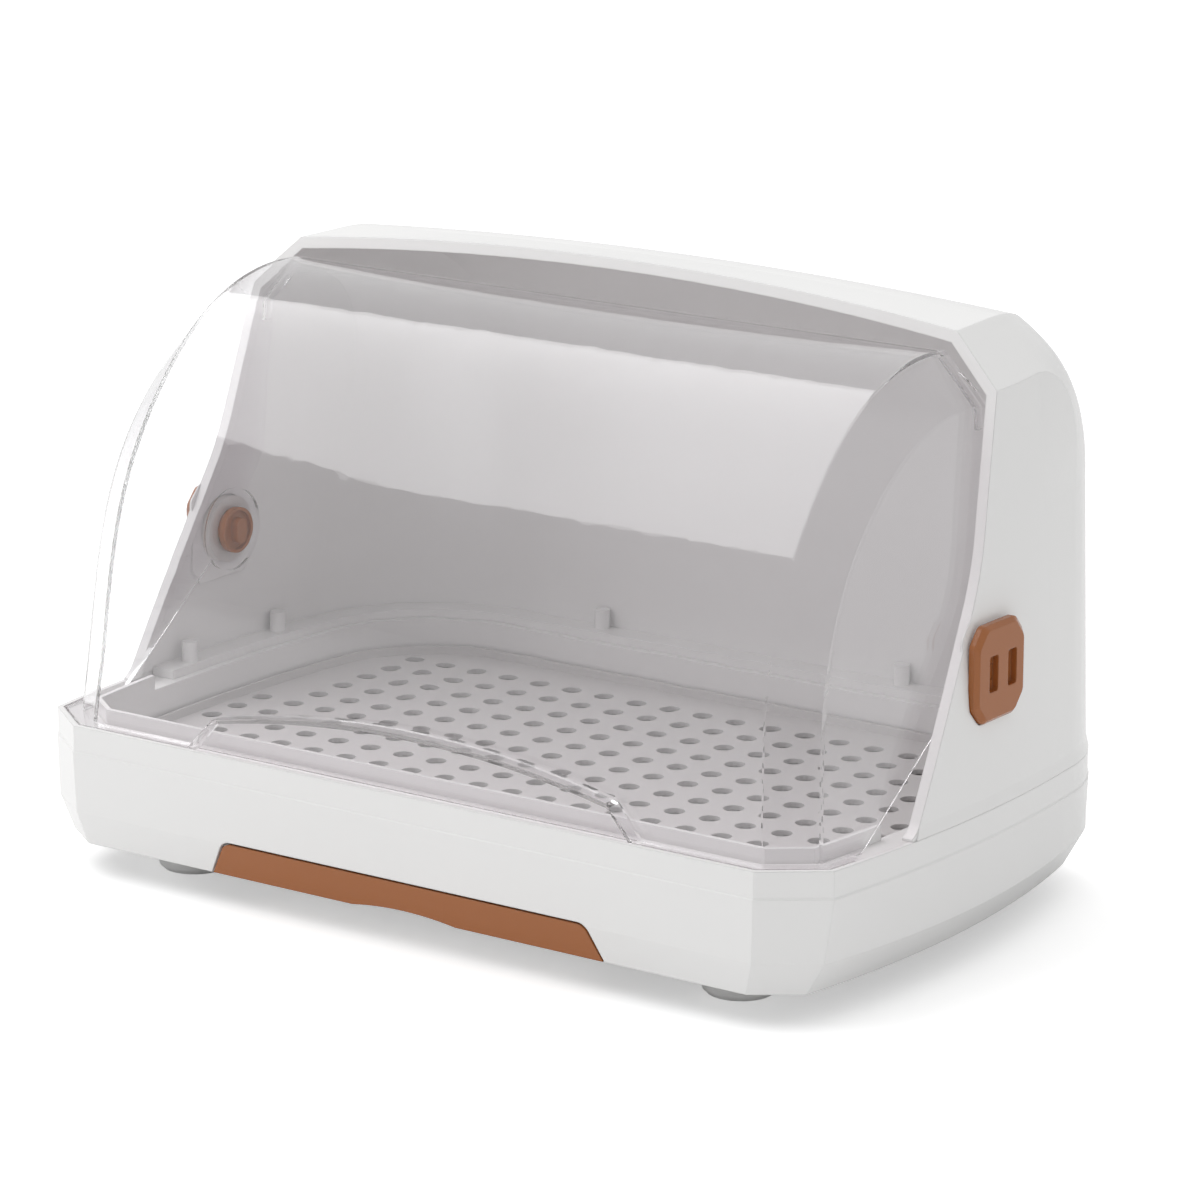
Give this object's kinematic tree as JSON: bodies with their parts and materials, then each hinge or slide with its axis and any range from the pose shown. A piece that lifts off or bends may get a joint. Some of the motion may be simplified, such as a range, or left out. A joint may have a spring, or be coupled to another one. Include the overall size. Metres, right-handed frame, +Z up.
{
  "type": "covered cup drying rack",
  "caption": "Drying rack for cups: tub with a drip drawer, lift-out perforated plate, hood behind and a clear visor that pivots up into the hood.",
  "frame": {"origin": "centre of the footprint, on the surface the feet stand on", "axes": "+X to the right, +Y to the back, +Z up; the visor and the drawer face -Y"},
  "size_m": [0.4678, 0.298, 0.2982],
  "materials": {
    "white_plastic": "smooth white moulding",
    "clear_plastic": "clear moulding",
    "brown_plastic": "brown moulding",
    "grey_plastic": "light grey moulding",
    "washer_plastic": "natural slippery plastic",
    "steel": "plated screws"
  },
  "bodies": {
    "base": {"base_tub": "white_plastic", "hood_shell": "white_plastic", "hood_screws": "steel", "foot_front_left": "white_plastic", "foot_front_right": "white_plastic", "foot_rear_left": "white_plastic", "foot_rear_right": "white_plastic", "foot_screws": "steel", "drawer_rail_left": "washer_plastic", "drawer_rail_right": "washer_plastic", "rail_screws": "steel", "hinge_cap_left": "brown_plastic", "hinge_cap_right": "brown_plastic", "hinge_pin_left": "brown_plastic", "hinge_pin_right": "brown_plastic", "hinge_washer_left": "washer_plastic", "hinge_washer_right": "washer_plastic"},
    "visor": {"visor": "clear_plastic"},
    "drawer": {"drawer_front": "brown_plastic", "drawer_tray": "grey_plastic"},
    "rack": {"rack_plate": "grey_plastic"}
  },
  "joints": [
    {"name": "visor_hinge", "type": "hinge", "parent": "base", "child": "visor", "pos_m": [0, 0, 0.139], "axis": [-1, 0, 0], "range_deg": [0, 50]},
    {"name": "drawer_slide", "type": "slide", "parent": "base", "child": "drawer", "axis": [0, -1, 0], "range_m": [0, 0.16]},
    {"name": "rack_lift", "type": "slide", "parent": "base", "child": "rack", "axis": [0, 0, 1], "range_m": [0, 0.03]}
  ]
}
